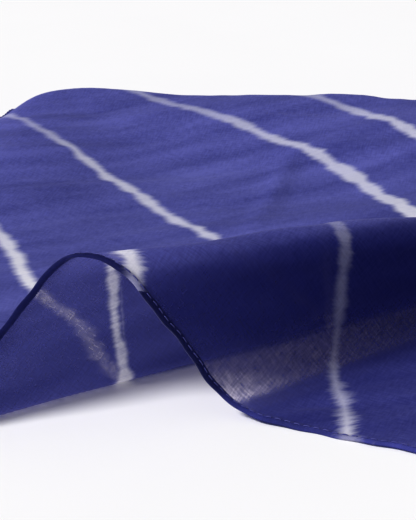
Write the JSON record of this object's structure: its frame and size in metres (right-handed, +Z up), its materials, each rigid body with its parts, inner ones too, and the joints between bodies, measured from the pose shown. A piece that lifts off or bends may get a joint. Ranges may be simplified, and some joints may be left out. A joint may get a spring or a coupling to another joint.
{
  "type": "shibori dyed cloth",
  "caption": "Sheer hemmed cotton cloth with resist-dyed stripes, lying on a surface with one standing fold across it.",
  "frame": {"origin": "bottom centre of the bounding box, on the surface that the cloth lies on", "axes": "+Z up out of the surface, +X to the right and +Y away from a viewer who faces the near hem"},
  "size_m": [0.4676, 0.4344, 0.0588],
  "materials": {
    "dyed_cotton": "matt, thin plain-woven cotton dyed violet-blue with paler resist stripes"
  },
  "bodies": {
    "root": {"cloth": "dyed_cotton"}
  },
  "joints": []
}
